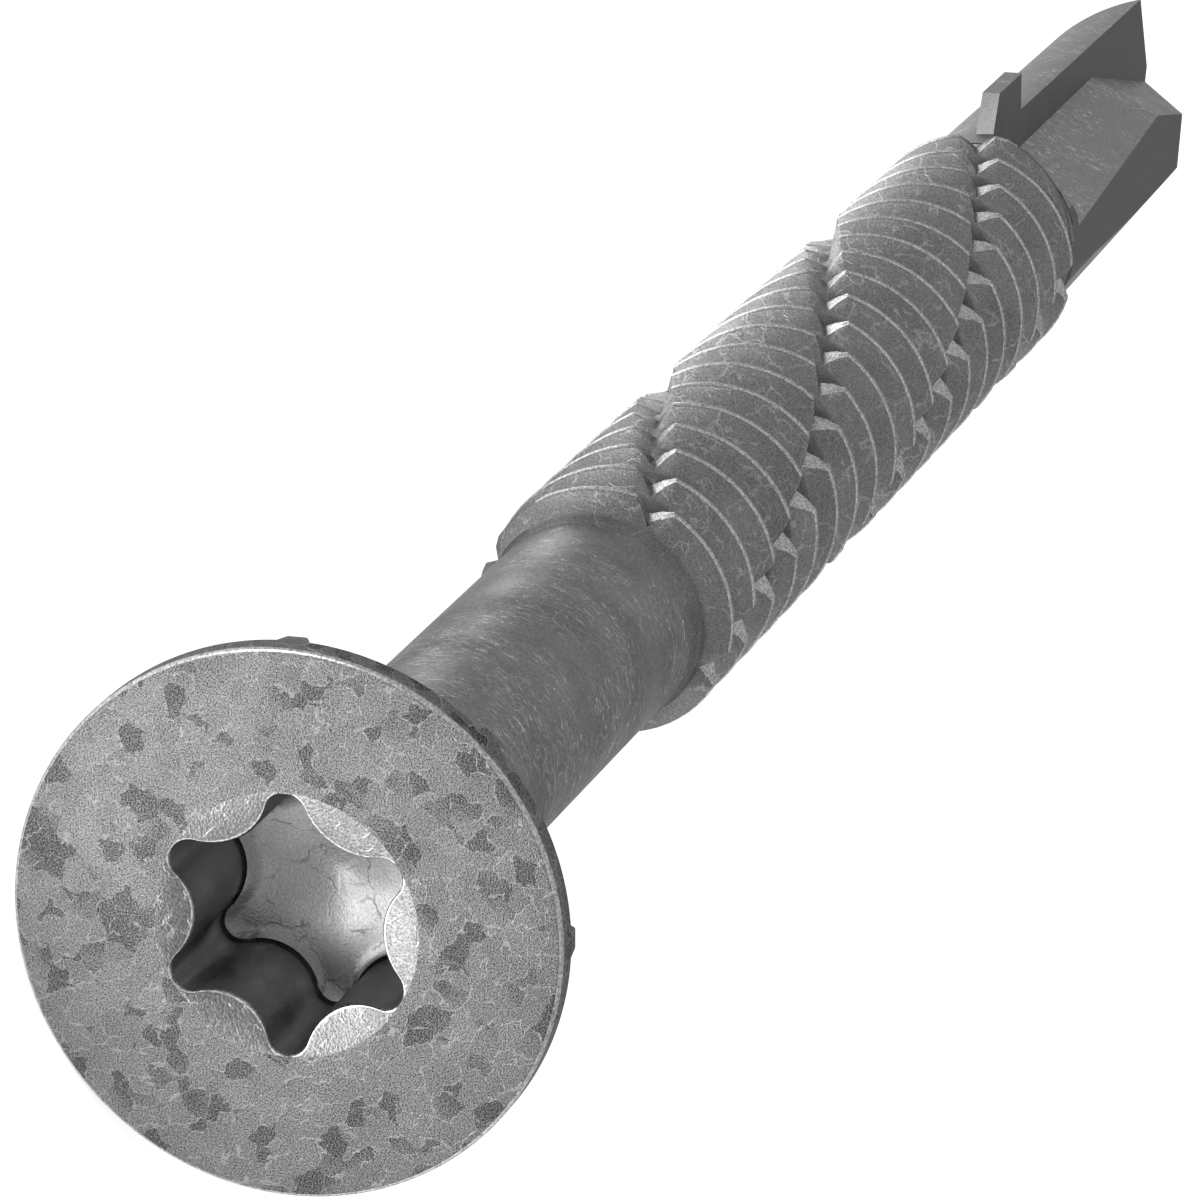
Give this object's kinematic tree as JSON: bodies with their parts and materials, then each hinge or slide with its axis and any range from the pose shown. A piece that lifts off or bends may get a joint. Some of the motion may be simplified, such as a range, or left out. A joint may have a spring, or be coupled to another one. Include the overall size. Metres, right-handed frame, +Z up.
{
  "type": "winged self-drilling screw",
  "caption": "Countersunk self-drilling screw with breakaway wings and a notched thread, for fixing timber to a steel frame.",
  "frame": {"origin": "on the surface that the screw lies on, below the middle of its bounding box", "axes": "+X runs along the lying screw from the head to the drill point, +Z is up, and +Y completes a right-handed frame; the screw's own axis dips by about 3 degrees from the head to the point"},
  "size_m": [0.0802, 0.012, 0.012],
  "materials": {
    "zinc_steel": "grey zinc coat over carbon steel, mottled on the head's flat face, satin on the shank and thread, brighter on ground edges"
  },
  "bodies": {
    "root": {"screw": "zinc_steel"}
  },
  "joints": []
}
